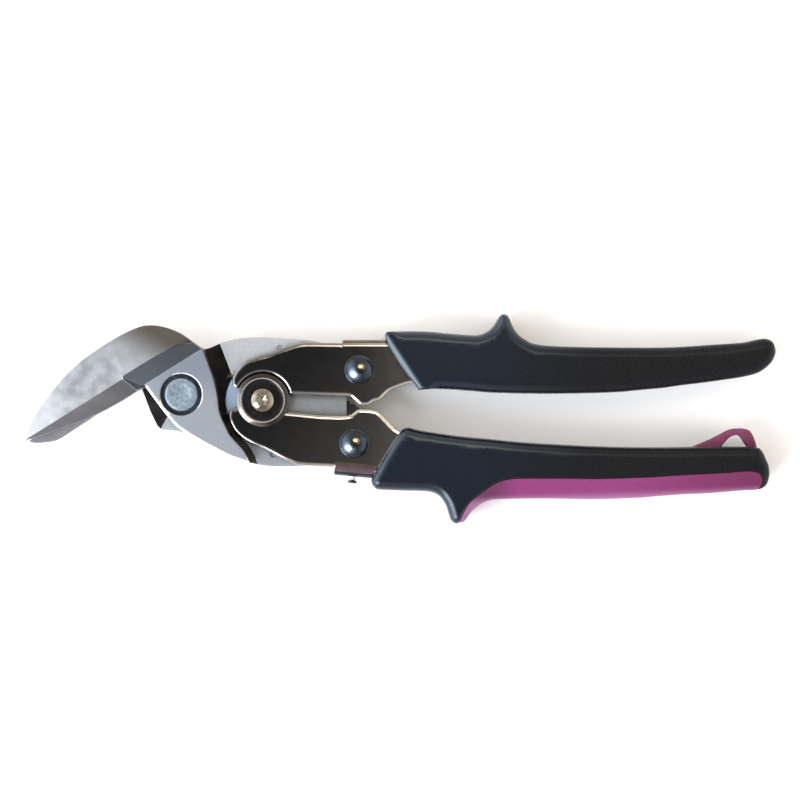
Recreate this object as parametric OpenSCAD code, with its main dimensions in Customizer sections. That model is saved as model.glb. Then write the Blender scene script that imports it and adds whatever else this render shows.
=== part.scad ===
// Compound-lever aviation snips, lying flat. X runs from the jaws to the grips,
// Z is up. All sizes are in millimetres. The jaws are nearly closed.

/* [Layout] */
// height of the cutting plane above the table
mid_z = 8.8; // [6:0.1:12]
// blade pivot, along the tool
pivot_x = -75.6; // [-90:0.1:-60]
// blade pivot, across the tool
pivot_y = 8.4; // [0:0.1:15]
// direction of the line from the blade pivot to the lever hub, in degrees
axis_deg = -4; // [-10:0.5:10]
// blade pivot to each drive rivet
tang_len = 62.2; // [50:0.1:75]
// half the angle between the two drive rivets, in degrees
tang_half_deg = 11.9; // [8:0.1:16]
// blade pivot to lever hub
hub_dist = 28.1; // [22:0.1:36]

/* [Blades] */
// thickness of each jaw plate
jaw_t = 3.2; // [2:0.1:5]
// height of each blade boss over the cutting plane
boss_t = 8; // [6:0.1:10]
// gap between the two cutting faces
blade_gap = 0.1; // [0.02:0.02:0.4]
// half thickness of the tangs
tang_half_t = 2.8; // [2:0.1:4]
// radius of the round eye at the end of each tang
eye_r = 6.3; // [5:0.1:8]
// radius of the round relief in the tangs beside the hub
relief_r = 13.6; // [12:0.1:16]
// slope of the ground face along the upper edge, in degrees
bevel_deg = 19; // [5:1:40]

/* [Levers] */
// inner face of the upper lever plates
upper_in = 3; // [2.5:0.05:4]
// outer face of the upper lever plates
upper_out = 5.1; // [4:0.05:6]
// inner face of the lower lever plates
lower_in = 3.25; // [2.5:0.05:4]
// outer face of the lower lever plates
lower_out = 5.25; // [4:0.05:6]
// radius of the inner hub discs of the upper lever
inner_disc_r = 13; // [10:0.1:14]
// radius of the hub disc of the lower lever
outer_disc_r = 8.2; // [6:0.1:10]
// radius of the round opening in the upper lever plates
hub_open_r = 9.6; // [8:0.1:12]
// outer bend radius of the upper channel
upper_bend_r = 2; // [1:0.1:4]
// outer bend radius of the lower channel
lower_bend_r = 3; // [1:0.1:4]

/* [Pins] */
// radius of the blade pivot bolt
bolt_r = 4; // [3:0.1:6]
// radius of the bolt head
bolt_head_r = 5.7; // [5:0.1:8]
// radius of the counterbore for the bolt head
bolt_sink_r = 7.2; // [6:0.1:9]
// radius of the drive rivets
rivet_r = 3; // [2:0.1:4]
// radius of the rivet heads
rivet_head_r = 4.6; // [4:0.1:7]
// outer radius of the rivet washers
rivet_washer_r = 5.2; // [4.5:0.1:7]
// radius of the sleeve the levers turn on
sleeve_r = 3.5; // [2.5:0.1:5]
// radius of the hub screw head
hub_head_r = 4.2; // [3:0.1:6]
// outer radius of the hub washers
hub_washer_r = 9.2; // [6:0.1:9.4]
// radial clearance of a running fit
fit = 0.05; // [0.02:0.01:0.1]
// extra radius of the hole that takes up the coupling error
slack = 0.35; // [0.1:0.05:0.6]
// wire radius of the opening spring
wire_r = 0.8; // [0.5:0.05:1]

/* [Grips] */
// half thickness of the grips
grip_half_t = 8.8; // [6:0.1:12]
// height of the rounded edge of the grips
grip_round_z = 3; // [1:0.1:5]
// width of the rounded edge of the grips
grip_round_xy = 1.3; // [0.5:0.1:1.5]
// half thickness of the latch
latch_half_t = 2; // [1.5:0.1:3]
// latch pin, along the tool
latch_x = 121.5; // [118:0.1:124]
// latch pin, across the tool
latch_y = -12.6; // [-15:0.1:-10]
// radius of the latch pin
latch_pin_r = 1.25; // [0.8:0.05:2]

/* [Hidden] */
$fn = 64;

steel = [0.72, 0.74, 0.77];
nickel = [0.5, 0.5, 0.52];
dark = [0.2, 0.2, 0.22];
black = [0.12, 0.12, 0.14];
magenta = [0.62, 0.24, 0.48];

P = [pivot_x, pivot_y];
function polar(c, r, a) = [c[0] + r * cos(a), c[1] + r * sin(a)];
F = polar(P, hub_dist, axis_deg);
A = polar(P, tang_len, axis_deg + tang_half_deg);
B = polar(P, tang_len, axis_deg - tang_half_deg);
O = [latch_x, latch_y];
half_gap = blade_gap / 2;

// a smooth open curve through the points p
function curve_pt(a, b, c, d, t) = 0.5 * (2 * b + (c - a) * t
    + (2 * a - 5 * b + 4 * c - d) * t * t + (3 * b - a - 3 * c + d) * t * t * t);
function curve(p, n = 3) = [
    for (i = [0 : len(p) - 2]) for (k = [0 : n - 1])
        curve_pt(p[max(i - 1, 0)], p[i], p[i + 1], p[min(i + 2, len(p) - 1)], k / n),
    p[len(p) - 1]];
// the point mirrored in the line from the blade pivot to the hub
function mirrored(p) = let (u = [cos(axis_deg), sin(axis_deg)], v = p - P)
    P + 2 * (v * u) * u - v;
function reversed(p) = [for (i = [len(p) - 1 : -1 : 0]) p[i]];
function unit(v) = v / norm(v);
function area2(p) = [for (i = [0 : len(p) - 1]) let (q = p[(i + 1) % len(p)])
    p[i][0] * q[1] - p[i][1] * q[0]] * [for (i = [0 : len(p) - 1]) 1];
// the closed outline p, counter-clockwise, moved inwards by d
function inset(p, d) = let (n = len(p)) [for (i = [0 : n - 1])
    let (a = unit(p[i] - p[(i + n - 1) % n]), b = unit(p[(i + 1) % n] - p[i]),
         m = unit(a + b), s = d / max(0.75, a * m)) p[i] + s * [-m[1], m[0]]];

module plate(z0, z1, pts) { translate([0, 0, z0]) linear_extrude(z1 - z0) polygon(pts); }
module rod(c, r, z0, z1) { translate([c[0], c[1], z0]) cylinder(r = r, h = z1 - z0); }
module both() { children(); mirror([0, 0, 1]) children(); }

// ------------------------------------------------------------------ blades
jaw_top = curve([[-130, -7.5], [-129, -3], [-125.5, 3.5], [-118.5, 12.5], [-111.5, 19.5],
    [-104.5, 24.5], [-97.5, 28.8], [-91, 31.8], [-87, 32.5], [-83.5, 32.2], [-80, 31.3],
    [-76.5, 29.8], [-73, 27.5], [-69.5, 24.7], [-68.5, 24]]);
head_rear = curve([[-68, 24], [-66, 18.5], [-64.5, 14.5], [-63.5, 10.5], [-62.9, 7],
    [-62.5, 3.5], [-61.6, 0.3], [-60.2, -2.5], [-58.8, -5.3], [-56.3, -8.2], [-53.7, -11.2],
    [-51.5, -15.4]]);
head_low = curve([[-51.5, -15.4], [-55.5, -14.4], [-59, -13.3], [-62.5, -11.6], [-69.5, -7.8],
    [-76.2, -3.6], [-79.5, -0.3], [-82.9, 3.9], [-88.1, 11]]);
edge_up = curve([[-91.3, 9.7], [-97.5, 5.8], [-104.5, 2], [-111.5, -1.1], [-118.5, -3.6],
    [-125, -6], [-130, -7.5]]);
slope_deg = 32;
slope_at = [-79, 17.5];
slope_w = 6.6;
facet_w = 2.7;

module upper_blade() {
    color(steel) translate([0, 0, mid_z]) difference() {
        union() {
            difference() {
                plate(half_gap, jaw_t, concat(jaw_top, head_rear, head_low, edge_up));
                translate([-129.6, -7, jaw_t]) rotate([0, 0, 32]) rotate([bevel_deg, 0, 0])
                    translate([-5, -20, 0]) cube([60, 20, 10]);
            }
            // boss with its long slope and its short end facet
            difference() {
                intersection() {
                    plate(half_gap + 0.5, boss_t, concat([[-96.2, 15.4], [-96.2, 13.9], [-91.6, 10]],
                        reversed(head_low), reversed(head_rear),
                        [[-71.5, 26.4], [-77.5, 25.7], [-87, 20.5]]));
                    translate([slope_at[0], slope_at[1], 0]) rotate([0, 0, slope_deg])
                        rotate([90, 0, 90]) translate([0, 0, -30]) linear_extrude(80)
                        polygon([[-50, 0], [slope_w * boss_t / (boss_t - jaw_t), 0], [0, boss_t],
                            [-50, boss_t]]);
                }
                translate([-91.6, 10, 0]) rotate([0, 0, -41]) rotate([90, 0, 90])
                    translate([0, 0, -20]) linear_extrude(22)
                    polygon([[0, jaw_t], [facet_w * (boss_t + 1 - jaw_t) / (boss_t - jaw_t), boss_t + 1],
                        [-20, boss_t + 1], [-20, jaw_t]]);
            }
            tang_low();
        }
        rod(P, bolt_r + fit, -20, 20);
        rod(P, bolt_sink_r, 5.2, 20);
        rod(B, rivet_r + fit, -20, 20);
        rod([-43.9, -12.3], 1.1, tang_half_t - 0.6, 10);
    }
}

module tang_low() {
    difference() {
        union() {
            plate(-tang_half_t, tang_half_t, concat(
                curve([[-65, -10.2], [-62.5, -11.6], [-59, -13.3], [-55.5, -14.4], [-51.5, -15.4],
                    [-48, -16.1], [-43.5, -16.5], [-38.5, -16.5], [-35, -16.4], [-30, -16],
                    [-26, -15], [-19.5, -13.8]]),
                [[B[0], B[1]], [-18, -2.7], [-35.7, -1], [-48, -0.4], [-59.2, 0]]));
            rod(B, eye_r, -tang_half_t, tang_half_t);
        }
        rod(F, relief_r, -20, 20);
    }
}

module tang_high() {
    difference() {
        union() {
            plate(-tang_half_t, tang_half_t, concat(
                curve([[-62.7, 26.2], [-59, 27.3], [-55.5, 27.9], [-48, 28.3], [-38.5, 27.8],
                    [-31.5, 27.3], [-27.5, 26.5], [-24, 24.9], [-17.2, 22.4]]),
                [[A[0], A[1]], [-17, 11.3], [-34.9, 12.2], [-48, 12.6], [-58.2, 14.5]]));
            rod(A, eye_r, -tang_half_t, tang_half_t);
        }
        rod(F, relief_r, -20, 20);
    }
}

low_rear = concat([[-71, -6.2]], [for (p = curve([[-66.5, 18.5], [-65, 14.5], [-64, 10.5],
    [-63.4, 7], [-63, 3.5], [-62, 0.3], [-60.5, -2.5], [-59, -5.3], [-56.5, -8.2],
    [-53.7, -11.2], [-51.8, -14.8]])) mirrored(p)]);
low_neck = curve([[-48.5, 28.2], [-55.5, 27.9], [-59, 27.3], [-62.7, 26.2], [-68, 24.2],
    [-74, 25.2], [-81, 24.5], [-88, 21.5]]);
low_edge = curve([[-88, 21.5], [-97, 15.5], [-108, 7.5], [-118, -0.5], [-126, -5.6], [-129.6, -7.8]]);
low_under = curve([[-129.6, -7.8], [-127.2, -8.5], [-122, -8.1], [-118.5, -6.9], [-115, -4.6],
    [-111.5, -2.3], [-108, 0], [-104.5, 2.4], [-97.5, 6.6], [-91, 10.8]]);

module lower_blade() {
    head = concat([[-90.2, 11.2], [-87, 2.6], [-84.6, -2.4], [-83.2, -3.7], [-77.5, -4.3]], low_rear,
        low_neck, low_edge, low_under);
    color(steel) translate([0, 0, mid_z]) difference() {
        union() {
            plate(-jaw_t - 0.4, -half_gap, head);
            intersection() {
                plate(-boss_t, -half_gap - 0.5, head);
                translate([-84, 5, 0]) rotate([0, 0, 60]) rotate([90, 0, 90])
                    translate([0, 0, -40]) linear_extrude(80)
                    polygon([[-60, 0], [6 * boss_t / (boss_t - jaw_t), 0], [0, -boss_t],
                        [-60, -boss_t]]);
            }
            // shoulder that follows the hub discs
            plate(-boss_t, -half_gap, concat([for (a = [145 : 5 : 200]) polar(F, relief_r, a)],
                [[-67, 2], [-67, 15]]));
            // heel behind the lower lever
            plate(-boss_t, -5.7, [[-68, 5], [-60, 5], [-58.8, -1], [-60.5, -4], [-68, -3]]);
            tang_high();
        }
        rod(P, bolt_r + fit, -20, 20);
        rod(P, 8.3, -20, -4.7);
        rod(A, rivet_r + slack, -20, 20);
        rod([-41.5, 24.5], 1.1, tang_half_t - 0.6, 10);
    }
}

module pivot_bolt() {
    color(steel) translate([0, 0, mid_z]) {
        rod(P, bolt_r, -8.4, 6);
        difference() {
            rod(P, bolt_head_r, 6, 7.8);
            rod(P, 3.4, 7.5, 10);
        }
    }
}
module pivot_washer() {
    color(black) translate([0, 0, mid_z]) difference() {
        rod(P, bolt_sink_r - 0.1, 5.25, 5.95);
        rod(P, bolt_r + fit, 0, 20);
    }
}
module pivot_nut() {
    color(nickel) translate([0, 0, mid_z]) difference() {
        translate([P[0], P[1], -8.8]) cylinder(r = 7.5, h = 4, $fn = 6);
        rod(P, bolt_r + fit, -20, 20);
    }
}

// ------------------------------------------------------------------ levers
upper_plate = concat(
    curve([[-57.9, 11.4], [-58.2, 13.5], [-57.7, 15.2], [-56.5, 17], [-54.7, 18.7], [-52.5, 20],
        [-48.8, 21], [-45.3, 22], [-41.8, 23.3], [-38.3, 24.3], [-34, 25.3], [-28, 25.5]]),
    [[-20, 25.5], [30, 25.4], [34, 22], [70, 20.5], [70, 13], [10, 13]],
    curve([[2.8, 12.1], [0, 11.2], [-3.5, 9.7], [-5.3, 8.2], [-7, 6.6], [-9.1, 6], [-10.8, 4.9],
        [-13.6, 4.8], [-15.7, 6.5], [-17.5, 7.8], [-21, 8]]),
    [[-38, 8.6], [-47.5, 7], [-54, 9]]);

module upper_lever() {
    color(nickel) translate([0, 0, mid_z]) difference() {
        union() {
            both() difference() {
                plate(upper_in, upper_out, upper_plate);
                rod(F, hub_open_r, -20, 20);
            }
            // inner discs, and the tongue that closes the slot between the levers
            both() rod(F, inner_disc_r, 1, upper_in + 0.1);
            plate(1, upper_in + 0.1, [[-40, 0.4], [-18.5, 0.4], [-18.5, 10], [-40, 10]]);
            // bent web
            translate([-20, 0, 0]) rotate([90, 0, 90]) linear_extrude(50) polygon(concat(
                [[22, upper_out]],
                [for (a = [90 : -15 : 0]) polar([25.4, upper_out - upper_bend_r], upper_bend_r, a)],
                [for (a = [0 : -15 : -90]) polar([25.4, upper_bend_r - upper_out], upper_bend_r, a)],
                [[22, -upper_out], [22, -upper_in], [25.3, -upper_in], [25.3, upper_in],
                 [22, upper_in]]));
        }
        rod(F, sleeve_r + fit, -20, 20);
        rod(A, rivet_r + fit, -20, 20);
        rod(spring_up, wire_r + 0.1, -20, 0);
    }
}

web_deg = -5.4;
web_at = [-22.8, -16.6];
lower_plate = concat(
    curve([[-58.9, 3.4], [-59.4, 1.3], [-59.2, -0.4], [-58.5, -2.2], [-57.2, -4.3], [-54.7, -6.4],
        [-51.5, -8.1], [-48, -9.5], [-44.5, -11.2], [-41, -13.2], [-38.3, -14.5], [-35.5, -15.5],
        [-31.4, -15.8]]),
    [[-24.5, -16], [12, -19.8], [14, -19.5], [70, -18], [70, -12.5], [12, -11.5], [4, -6.5]],
    curve([[0, -4.3], [-1.7, -3.2], [-3.5, -1.5], [-5.2, 0.3], [-7.5, 2.5], [-9.8, 3.2],
        [-13.9, 3.4], [-15.7, 2.4], [-17.5, 1.3], [-21, 1]]),
    [[-28, 1.3], [-35, 2], [-39.4, 2.4], [-47.5, 6]]);

module lower_lever() {
    color(nickel) translate([0, 0, mid_z]) difference() {
        union() {
            both() plate(lower_in, lower_out, lower_plate);
            // stop tab on the back plate
            plate(-lower_out, -lower_in, [[-18.5, 0], [-13, 2], [-14.6, 3.9], [-17.3, 6.2],
                [-18.5, 6.2]]);
            both() rod(F, outer_disc_r, lower_in, lower_out);
            // bent web
            translate([web_at[0], web_at[1], 0]) rotate([0, 0, web_deg]) rotate([90, 0, 90])
                linear_extrude(34) polygon(concat(
                [[4, lower_out]],
                [for (a = [90 : 15 : 180]) polar([0.1, lower_out - lower_bend_r], lower_bend_r, a)],
                [for (a = [180 : 15 : 270]) polar([0.1, lower_bend_r - lower_out], lower_bend_r, a)],
                [[4, -lower_out], [4, -lower_in]],
                [for (a = [-90 : -30 : -180]) polar([0.1, 1 - lower_in], 1, a)],
                [for (a = [180 : -30 : 90]) polar([0.1, lower_in - 1], 1, a)],
                [[4, lower_in]]));
        }
        rod(F, sleeve_r + fit, -20, 20);
        rod(B, rivet_r + fit, -20, 20);
        rod(spring_low, wire_r + 0.1, -20, 0);
        stud_place() cylinder(r = 1.65, h = 20, center = true);
    }
}

module stud_place() {
    translate([-16.3, -18.6, 0]) rotate([0, 0, web_deg]) rotate([90, 0, 0]) children();
}
module web_stud() {
    color(dark) translate([0, 0, mid_z]) stud_place() {
        translate([0, 0, -1.2]) cylinder(r = 1.6, h = 2.5);
        translate([0, 0, 1]) cylinder(r = 0.8, h = 2);
        translate([0, 0, 2.9]) cylinder(r = 1.5, h = 0.9);
    }
}

// hub: screw in a flanged sleeve, with a dished washer on each side
hub_z = lower_out + fit;
module hub_screw() {
    color(nickel) translate([0, 0, mid_z]) {
        rod(F, 2, -4, hub_z + 1.3);
        difference() {
            intersection() {
                rod(F, hub_head_r, hub_z + 1.15, 20);
                translate([F[0], F[1], hub_z - 3]) sphere(r = 6.2);
            }
            translate([F[0], F[1], hub_z + 2]) cylinder(r = 2, h = 5, $fn = 6);
        }
    }
}
module hub_sleeve() {
    color(nickel) translate([0, 0, mid_z]) difference() {
        union() {
            rod(F, sleeve_r, -hub_z - 1, hub_z + 0.9);
            rod(F, 5, -hub_z - 2.6, -hub_z - 1);
        }
        rod(F, 2 + fit, -4.5, 20);
    }
}
module dished_washer() {
    translate([F[0], F[1], hub_z]) rotate_extrude() polygon([[sleeve_r + fit, 0], [hub_washer_r, 0],
        [hub_washer_r, 0.4], [hub_washer_r - 0.7, 1.3], [hub_washer_r - 1, 1.3],
        [hub_washer_r - 1.8, 0.5], [5.2, 0.5], [5.2, 0.95], [sleeve_r + fit, 0.95]]);
}
module hub_washer_front() { color(dark) translate([0, 0, mid_z]) dished_washer(); }
module hub_washer_back() { color(dark) translate([0, 0, mid_z]) mirror([0, 0, 1]) dished_washer(); }

// drive rivets with their washers
module rivet(c, z) {
    rod(c, rivet_r, -z, z);
    both() intersection() {
        rod(c, rivet_head_r, z - 0.1, 20);
        translate([c[0], c[1], z - 3.9]) sphere(r = 6.2);
    }
}
module rivet_rings(c, z) {
    both() difference() {
        rod(c, rivet_washer_r, z, z + 0.6);
        rod(c, rivet_r + fit, 0, 20);
    }
}
module upper_drive_rivet() { color(dark) translate([0, 0, mid_z]) rivet(A, upper_out + 0.75); }
module lower_drive_rivet() { color(dark) translate([0, 0, mid_z]) rivet(B, lower_out + 0.75); }
module upper_rivet_washers() { color(dark) translate([0, 0, mid_z]) rivet_rings(A, upper_out + 0.02); }
module lower_rivet_washers() { color(dark) translate([0, 0, mid_z]) rivet_rings(B, lower_out + 0.02); }

// hairpin spring between the inner hub discs, its ends bent into the back plates
spring_r = 5.4;
spring_up = [-25, 9.8];
spring_low = [-26, -0.1];
module leg(a, b) {
    d = b - a;
    translate([a[0], a[1], 0]) rotate([0, 0, atan2(d[1], d[0])])
        translate([-0.4, -wire_r, -wire_r]) cube([norm(d) + 1.4, 2 * wire_r, 2 * wire_r]);
    rod(b, wire_r - 0.1, -4.6, 0);
}
module opening_spring() {
    top = polar(F, spring_r, 92);
    low = polar(F, spring_r, -100);
    color(steel) translate([0, 0, mid_z]) {
        difference() {
            rod(F, spring_r + wire_r, -wire_r, wire_r);
            rod(F, spring_r - wire_r, -5, 5);
            plate(-5, 5, [F, polar(F, 20, -100), polar(F, 40, -45), polar(F, 40, 45),
                polar(F, 20, 92)]);
        }
        leg(top, spring_up);
        leg(low, spring_low);
    }
}

// ------------------------------------------------------------------ grips
upper_grip_line = concat(
    curve([[6.3, 10], [5.9, 11.1], [3.5, 14.2], [0, 19.1], [-2.4, 22.9], [-4, 25.6], [-5, 28],
        [-4.9, 29.6], [-3.5, 30.2], [3.5, 30.4], [10.5, 30.2], [17.5, 29.5], [24.5, 29],
        [27.2, 29], [29.6, 29.9], [31.7, 31.3], [33.1, 33], [34.2, 35], [35, 36], [35.9, 36.3],
        [36.9, 36], [37.8, 35], [38.7, 32.7], [40.1, 30.2], [41.8, 28.5], [43.9, 27.1],
        [46, 26.1], [50.5, 25.4], [59, 25], [70, 24.8], [90, 24.7], [101, 25.2], [108, 25.7],
        [118.5, 26.4], [122, 27.1], [124.4, 27.6], [126.2, 27.8], [127.9, 27.4], [129.2, 26.4],
        [129.8, 24.8], [130, 23], [129.3, 20.8], [128.2, 19.1], [126.2, 17.3], [123.7, 15.8],
        [120.2, 14.8], [115, 13.9], [105, 12.5], [97.5, 11.6], [90.5, 10.6], [83.5, 10],
        [76.5, 9.3], [69.5, 9], [61, 8.8], [52, 8.7], [42, 8.8], [31.5, 9.1], [24.5, 9.7],
        [17.5, 10.2], [12.2, 10.4], [8.7, 10.2], [6.3, 10]], 1));
lower_grip_line = concat(
    curve([[0.7, -3.9], [-1, -5.7], [-2.8, -8.1], [-4.5, -10.9], [-6.6, -14.4], [-8.4, -17.9],
        [-9.5, -20], [-9.9, -21.5], [-9.4, -23.1], [-8.4, -24.1], [-7, -24.5], [0, -24.8],
        [8.7, -25], [11.5, -25.5], [13.6, -26.6], [15, -28.3], [16, -30.1], [16.8, -32.5],
        [17.4, -34.6], [18.6, -36], [20, -36.3], [22, -35.6], [23, -34.6], [24.4, -32.5],
        [26.1, -30.8], [28.9, -29], [31.5, -28.1], [35, -27.8], [45, -27.6], [52, -27.6],
        [62.5, -27.8], [70, -27.8], [77, -27.6], [83.5, -27.3], [90.5, -26.7], [97.5, -26.2],
        [104.5, -25.9], [111.5, -25.4], [118.5, -24.8], [123.5, -24.6], [125.2, -24.1],
        [126.5, -23.3], [127.3, -22], [127.7, -20.6], [127.9, -18.6], [127.6, -16.1],
        [126.7, -14], [125.8, -11.9], [124.8, -10.5], [123.6, -9.9], [120, -9.8], [111.5, -10],
        [104.5, -10.2], [97.5, -10.5], [87, -10.5], [77, -10.5], [70, -10.3], [62.5, -10],
        [55.5, -9.7], [45, -9.1], [38, -8.5], [31.5, -7.8], [24.5, -7.2], [17.5, -6.4],
        [12, -5.5], [7.5, -4.6], [5.2, -3.9], [3.1, -3.1], [1.7, -3.3], [0.7, -3.9]], 1));
inlay_top = curve([[20.6, -35.6], [22.4, -31.5], [24.4, -28.7], [27.2, -26.2], [29.6, -24.5],
    [32, -22.8], [35, -21.4], [38.5, -20.7], [42, -20.5], [56, -20.5], [70, -20.6], [87, -20],
    [97.5, -19.3], [111.5, -18.6], [119.5, -18], [122.5, -18.2], [124.1, -18.9], [124.9, -20.3],
    [124.9, -22.4], [124, -24], [123, -25.5]], 2);

// a block with rounded upper and lower edges, from a closed outline
module rounded_block(line, h, rxy, rz) {
    open = [for (i = [0 : len(line) - 2]) line[i]];
    p = area2(open) > 0 ? open : reversed(open);
    n = len(p);
    rings = [[0.999 * rxy, -h], [0.3 * rxy, -h + 0.3 * rz], [0, -h + rz], [0, h - rz],
             [0.3 * rxy, h - 0.3 * rz], [0.999 * rxy, h]];
    pts = [for (r = rings) each [for (q = inset(p, r[0])) [q[0], q[1], r[1]]]];
    polyhedron(pts, concat(
        [[for (i = [0 : n - 1]) i]],
        [for (k = [0 : len(rings) - 2]) for (i = [0 : n - 1])
            [k * n + i, (k + 1) * n + i, (k + 1) * n + (i + 1) % n, k * n + (i + 1) % n]],
        [[for (i = [n - 1 : -1 : 0]) (len(rings) - 1) * n + i]]), convexity = 6);
}

module upper_grip() {
    color(black) translate([0, 0, mid_z]) difference() {
        rounded_block(upper_grip_line, grip_half_t, grip_round_xy, grip_round_z);
        // room for the lever tail
        both() plate(upper_in - 0.1, upper_out + 0.1, [[-12, 26.2], [30.1, 25.6], [34.2, 22.2],
            [70.2, 20.7], [70.2, 12.8], [10, 12.8], [2.8, 11.7], [-12, 8]]);
        translate([-12, 25.2, -upper_out - 0.1]) cube([42.1, 2.3, 2 * upper_out + 0.2]);
        // catch for the latch
        plate(-latch_half_t - 0.4, latch_half_t + 0.4, [[104, 5], [121.2, 5], [121.2, 16.5],
            [123, 16.5], [123, 19.5], [106, 19.5], [104, 16]]);
    }
}

inlay_gap = 0.04;
module inlay_region(g) {
    plate(-20, 20, concat([for (q = inlay_top) [q[0], q[1] + g]], [[123, -45], [20.6, -45]]));
}
module lower_grip_body() {
    rounded_block(lower_grip_line, grip_half_t, grip_round_xy, grip_round_z);
}
module lower_grip() {
    color(black) translate([0, 0, mid_z]) difference() {
        lower_grip_body();
        inlay_region(inlay_gap);
        // room for the lever tail
        both() plate(lower_in - 0.1, lower_out + 0.1, [[-14, -1], [0, -4.1], [4.2, -6.2],
            [12.2, -11.2], [70.2, -12.3], [70.2, -18.2], [12.2, -20.4], [-14, -17.4]]);
        translate([web_at[0], web_at[1], 0]) rotate([0, 0, web_deg])
            translate([5, -3.2, -lower_out - 0.1]) cube([29.1, 3.6, 2 * lower_out + 0.2]);
        // room for the latch and its pin
        plate(-latch_half_t - 0.25, latch_half_t + 0.25, [[93.8, 0], [93.8, -15.2], [118, -15.2],
            [119.5, -16.8], [140, -16.8], [140, 0]]);
        rod(O, latch_pin_r + fit, -5.1, 5.1);
    }
}
module lower_grip_inlay() {
    color(magenta) translate([0, 0, mid_z]) intersection() {
        lower_grip_body();
        inlay_region(0);
    }
}

// finger loop with its locking arm
module locking_latch() {
    outer = concat(curve([[95, -13.6], [95.1, -11.7], [95.6, -10.9], [96.3, -10.9], [97.2, -11.5],
        [98.6, -11.5], [100, -10.9], [101.6, -9.9], [103.5, -9], [108, -7.1], [111.5, -5.3], [114.3, -3.9],
        [116.7, -3.4], [119.5, -3.4], [121.6, -4.1], [122.7, -5.7], [123.6, -7.8], [124.1, -9.8],
        [124.2, -12.2], [123.6, -14.2], [121.5, -15]]), [[117, -14.6], [96, -14.3]]);
    hole = curve([[111.6, -9.8], [113.6, -7.5], [115, -6.3], [116.6, -5.7], [117.8, -5.8],
        [118.8, -6.7], [119.8, -8.5], [120, -9.8], [111.6, -9.8]]);
    color(magenta) translate([0, 0, mid_z]) difference() {
        plate(-latch_half_t, latch_half_t, outer);
        plate(-20, 20, hole);
        rod(O, latch_pin_r + fit, -20, 20);
    }
}
module latch_pin() { color(dark) translate([0, 0, mid_z]) rod(O, latch_pin_r, -5, 5); }

upper_blade();
lower_blade();
pivot_bolt();
pivot_washer();
pivot_nut();
upper_lever();
lower_lever();
hub_screw();
hub_sleeve();
hub_washer_front();
hub_washer_back();
upper_drive_rivet();
lower_drive_rivet();
upper_rivet_washers();
lower_rivet_washers();
opening_spring();
web_stud();
upper_grip();
lower_grip();
lower_grip_inlay();
locking_latch();
latch_pin();
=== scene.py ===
import math

import bmesh
import bpy
import numpy as np
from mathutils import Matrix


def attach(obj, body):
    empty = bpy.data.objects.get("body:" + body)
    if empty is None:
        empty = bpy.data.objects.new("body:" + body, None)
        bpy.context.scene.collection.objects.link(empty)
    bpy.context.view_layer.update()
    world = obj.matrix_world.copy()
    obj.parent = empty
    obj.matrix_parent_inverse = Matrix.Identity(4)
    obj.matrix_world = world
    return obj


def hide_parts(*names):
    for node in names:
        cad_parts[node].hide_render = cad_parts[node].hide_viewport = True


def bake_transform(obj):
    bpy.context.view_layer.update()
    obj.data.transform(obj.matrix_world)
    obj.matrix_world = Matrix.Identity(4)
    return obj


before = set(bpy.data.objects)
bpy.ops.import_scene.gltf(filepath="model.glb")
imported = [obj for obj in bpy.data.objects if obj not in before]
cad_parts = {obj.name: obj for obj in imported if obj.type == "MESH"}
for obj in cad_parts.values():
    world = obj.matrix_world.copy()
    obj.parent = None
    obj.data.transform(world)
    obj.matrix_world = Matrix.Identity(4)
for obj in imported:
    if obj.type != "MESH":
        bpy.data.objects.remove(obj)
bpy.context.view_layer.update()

import openvdb
from mathutils import Vector

scene = bpy.context.scene

# ------------------------------------------------------------------ layout (mm)
ZC = 8.8  # cutting plane above the table


def polar(c, r, a):
    return (c[0] + r * math.cos(math.radians(a)), c[1] + r * math.sin(math.radians(a)))


P = (-75.6, 8.4)
F = polar(P, 28.1, -4)
A = polar(P, 62.2, 7.9)
B = polar(P, 62.2, -15.9)
O = (121.5, -12.6)


def curve(p, n=5):
    """Points of a smooth open curve through p."""
    p = np.array(p, float)
    out = []
    for i in range(len(p) - 1):
        a, b = p[max(i - 1, 0)], p[i]
        c, d = p[i + 1], p[min(i + 2, len(p) - 1)]
        for k in range(n):
            t = k / n
            out.append(
                0.5
                * (
                    2 * b
                    + (c - a) * t
                    + (2 * a - 5 * b + 4 * c - d) * t * t
                    + (3 * b - a - 3 * c + d) * t**3
                )
            )
    out.append(p[-1])
    return [tuple(q) for q in out]


def mirrored(p):
    u = np.array([math.cos(math.radians(-4)), math.sin(math.radians(-4))])
    v = np.array(p) - P
    return tuple(np.array(P) + 2 * (v @ u) * u - v)


jaw_top = curve(
    [(-130, -7.5), (-129, -3), (-125.5, 3.5), (-118.5, 12.5), (-111.5, 19.5), (-104.5, 24.5),
     (-97.5, 28.8), (-91, 31.8), (-87, 32.5), (-83.5, 32.2), (-80, 31.3), (-76.5, 29.8),
     (-73, 27.5), (-69.5, 24.7), (-68.5, 24)])
head_rear = curve(
    [(-68, 24), (-66, 18.5), (-64.5, 14.5), (-63.5, 10.5), (-62.9, 7), (-62.5, 3.5), (-61.6, 0.3),
     (-60.2, -2.5), (-58.8, -5.3), (-56.3, -8.2), (-53.7, -11.2), (-51.5, -15.4)])
head_low = curve(
    [(-51.5, -15.4), (-55.5, -14.4), (-59, -13.3), (-62.5, -11.6), (-69.5, -7.8), (-76.2, -3.6),
     (-79.5, -0.3), (-82.9, 3.9), (-88.1, 11)])
edge_up = curve(
    [(-91.3, 9.7), (-97.5, 5.8), (-104.5, 2), (-111.5, -1.1), (-118.5, -3.6), (-125, -6),
     (-130, -7.5)])
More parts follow.
